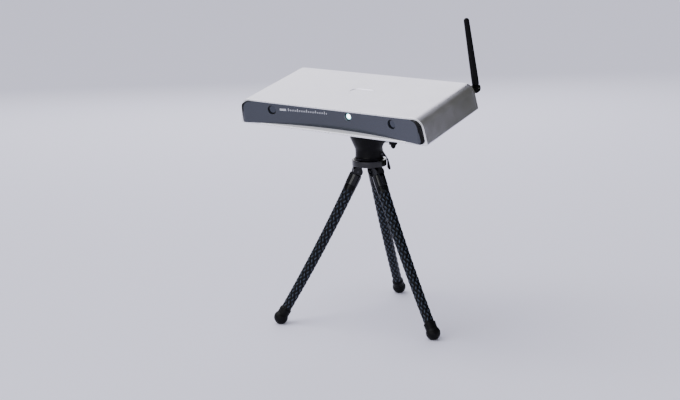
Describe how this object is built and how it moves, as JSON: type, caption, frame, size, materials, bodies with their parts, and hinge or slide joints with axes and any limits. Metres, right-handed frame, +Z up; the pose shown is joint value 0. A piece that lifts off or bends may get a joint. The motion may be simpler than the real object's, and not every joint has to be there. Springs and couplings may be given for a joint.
{
  "type": "tripod-mounted 3d scanner",
  "caption": "Flat structured-light 3D scanner with two cameras and a projector behind a concave dark panel, a hinged antenna, and a ball-head tripod with flexible legs.",
  "frame": {"origin": "on the floor, under the middle of the whole object box", "axes": "+Z up, +Y towards the back of the scanner, +X to the right as the front is seen; the scanner looks along -Y and 12.5 degrees down"},
  "size_m": [0.271, 0.2143, 0.3862],
  "materials": {
    "antenna_black": "fine moulded texture",
    "ball_black": "polished black",
    "barrel_black": "matt black anodised",
    "black_screws": "black oxide",
    "brass": "machined",
    "bright_metal": "plain milled",
    "button_black": "moulded",
    "cable_black": "jacket",
    "case_silver": "satin anodised silver",
    "circuit_board": "solder mask",
    "collar_gloss": "gloss black",
    "ferrule_black": "moulded, smooth",
    "foot_rubber": "plain",
    "head_black": "moulded, slight sheen",
    "leg_rubber": "braided relief",
    "leg_wire": "soft wire",
    "lens_glass": "coated lens",
    "pad_rubber": "ribbed",
    "panel_gloss": "glossy blue-black acrylic",
    "port_black": "moulded",
    "port_metal": "tinned shell",
    "projector_glass": "lit projector lens",
    "seat_plastic": "acetal",
    "steel": "zinc plated"
  },
  "bodies": {
    "hub": {"hub": "head_black", "hub_collar": "collar_gloss", "leg_pins": "steel"},
    "leg_1": {"leg_ferrule_1": "ferrule_black", "leg_sleeve_1": "leg_rubber", "leg_core_1": "leg_wire", "leg_foot_1": "foot_rubber"},
    "leg_2": {"leg_ferrule_2": "ferrule_black", "leg_sleeve_2": "leg_rubber", "leg_core_2": "leg_wire", "leg_foot_2": "foot_rubber"},
    "leg_3": {"leg_ferrule_3": "ferrule_black", "leg_sleeve_3": "leg_rubber", "leg_core_3": "leg_wire", "leg_foot_3": "foot_rubber"},
    "head": {"head_cup": "head_black", "ball_seat": "seat_plastic", "socket_ring": "head_black", "pan_bolt": "steel", "lever_pin": "steel"},
    "pan_lever": {"pan_lever": "head_black"},
    "lock_screw": {"lock_screw": "steel", "lock_wing": "head_black"},
    "ball": {"ball_stem": "ball_black", "mount_plate": "head_black", "plate_pad": "pad_rubber", "mount_stud": "steel"},
    "power_button": {"power_button": "button_black"},
    "blower_rotor": {"blower_rotor": "port_black"},
    "antenna_base": {"antenna_base": "antenna_black", "antenna_pin": "steel"},
    "antenna_whip": {"antenna_whip": "antenna_black"},
    "scanner": {"antenna_jack": "brass", "antenna_lead": "cable_black", "blower_housing": "port_black", "button_switch": "port_black", "camera_barrel_left": "barrel_black", "camera_barrel_right": "barrel_black", "camera_board_left": "circuit_board", "camera_board_right": "circuit_board", "camera_cables": "cable_black", "camera_lens_left": "lens_glass", "camera_lens_right": "lens_glass", "case_sleeve": "case_silver", "chassis_tray": "bright_metal", "cover_screws": "black_screws", "dc_jack": "port_black", "ethernet_jack": "port_metal", "front_panel": "panel_gloss", "heat_spreader": "bright_metal", "main_board": "circuit_board", "optics_bar": "bright_metal", "projector_barrel": "barrel_black", "projector_engine": "barrel_black", "projector_heat_sink": "bright_metal", "projector_lens": "projector_glass", "rear_cover": "case_silver", "tray_screws": "steel", "tripod_insert": "brass", "usb_port": "port_black"}
  },
  "joints": [
    {"name": "leg_splay_1", "type": "hinge", "parent": "hub", "child": "leg_1", "pos_m": [0.0166, -0.01967, 0.1935], "axis": [-0.2756, -0.9613, 0], "range_deg": [-28, 42]},
    {"name": "leg_splay_2", "type": "hinge", "parent": "hub", "child": "leg_2", "pos_m": [-0.00205, -0.00036, 0.1935], "axis": [0.9703, 0.2419, 0], "range_deg": [-28, 42]},
    {"name": "leg_splay_3", "type": "hinge", "parent": "hub", "child": "leg_3", "pos_m": [-0.00945, -0.02617, 0.1935], "axis": [-0.6947, 0.7193, 0], "range_deg": [-28, 42]},
    {"name": "head_pan", "type": "hinge", "parent": "hub", "child": "head", "pos_m": [0.0017, -0.0154, 0.209], "axis": [0, 0, 1], "continuous": true},
    {"name": "pan_lever_flip", "type": "hinge", "parent": "head", "child": "pan_lever", "pos_m": [0.01464, -0.00634, 0.2156], "axis": [0.5736, -0.8192, 0], "range_deg": [0, 60]},
    {"name": "lock_screw_turn", "type": "hinge", "parent": "head", "child": "lock_screw", "pos_m": [0.02218, -0.00106, 0.231], "axis": [0.8192, 0.5736, 0], "range_deg": [0, 360]},
    {"name": "ball_tilt", "type": "hinge", "parent": "head", "child": "ball", "pos_m": [0.0017, -0.0154, 0.241], "axis": [1, 0, 0], "range_deg": [-45, 20]},
    {"name": "scanner_swivel", "type": "hinge", "parent": "ball", "child": "scanner", "pos_m": [0.00245, -0.02161, 0.26901], "axis": [0.0262, -0.2164, 0.976], "continuous": true},
    {"name": "antenna_swivel", "type": "hinge", "parent": "scanner", "child": "antenna_base", "pos_m": [0.12465, 0.03713, 0.29976], "axis": [0, 0.9763, 0.2164], "continuous": true},
    {"name": "antenna_tilt", "type": "hinge", "parent": "antenna_base", "child": "antenna_whip", "pos_m": [0.12465, 0.03713, 0.29976], "axis": [-0.999, 0.0094, -0.0426], "range_deg": [0, 90]},
    {"name": "power_button_press", "type": "slide", "parent": "scanner", "child": "power_button", "axis": [0, -0.9763, -0.2164], "range_m": [0, 0.001], "stiffness_N_per_m": 400, "springref_m": -0.0005},
    {"name": "blower_spin", "type": "hinge", "parent": "scanner", "child": "blower_rotor", "pos_m": [0.08403, -0.02299, 0.27061], "axis": [0.0262, -0.2164, 0.976], "continuous": true}
  ]
}
